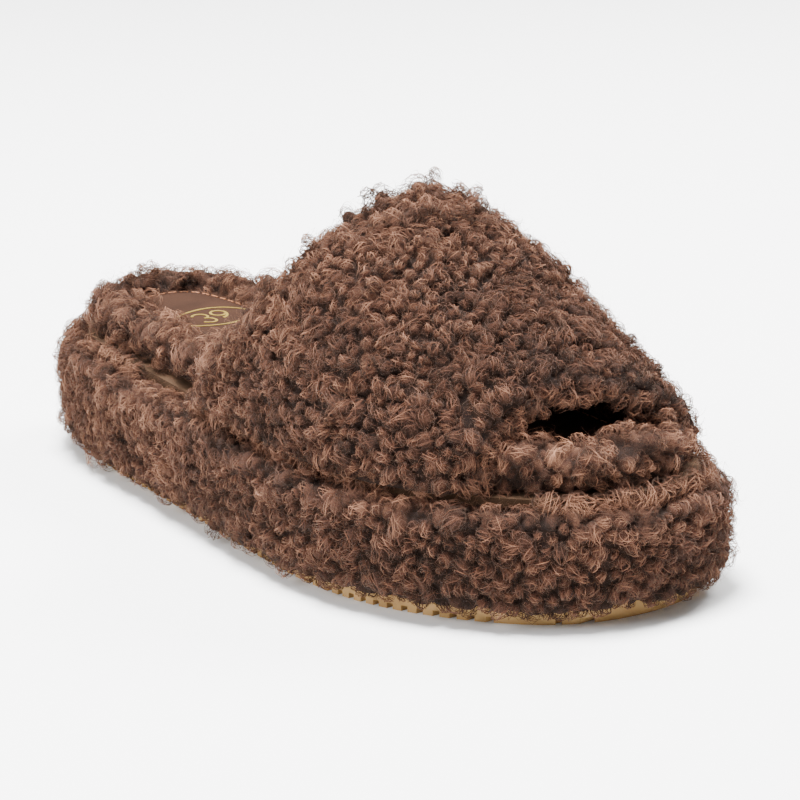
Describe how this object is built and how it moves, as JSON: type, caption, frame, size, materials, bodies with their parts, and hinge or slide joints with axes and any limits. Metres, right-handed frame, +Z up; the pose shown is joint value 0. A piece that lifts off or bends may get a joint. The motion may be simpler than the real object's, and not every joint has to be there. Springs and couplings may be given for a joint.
{
  "type": "slipper",
  "caption": "Open-toe platform slide slipper in curly brown faux shearling, with a suede insock and a notched tan rubber sole.",
  "frame": {"origin": "on the floor, under the middle of the whole slide", "axes": "+Z up, toe towards -Y, heel towards +Y, big toe side towards +X"},
  "size_m": [0.1197, 0.2841, 0.1125],
  "materials": {
    "tan_rubber": "moulded, matt",
    "eva_foam": "closed-cell foam, matt",
    "brown_fur": "curly faux shearling, about 5 mm deep",
    "khaki_suede": "brushed microsuede, matt",
    "upper_backing": "smooth microfibre, matt",
    "felt_filler": "pressed felt",
    "fibre_board": "pressed fibre board",
    "memory_foam": "open-cell foam",
    "copper_thread": "polyester thread, slight sheen",
    "gold_foil": "hot-stamped foil, satin"
  },
  "bodies": {
    "root": {"outsole": "tan_rubber", "platform_midsole": "eva_foam", "platform_wrap": "brown_fur", "platform_cover": "khaki_suede", "upper_margins": "upper_backing", "bottom_filler": "felt_filler", "insole_board": "fibre_board", "footbed_core": "eva_foam", "footbed_cushion": "memory_foam", "insock": "khaki_suede", "rim_foam_roll": "memory_foam", "footbed_wrap": "brown_fur", "insock_stitching": "copper_thread", "insock_size_stamp": "gold_foil", "upper_fur": "brown_fur", "upper_foam": "memory_foam", "upper_lining": "upper_backing"}
  },
  "joints": []
}
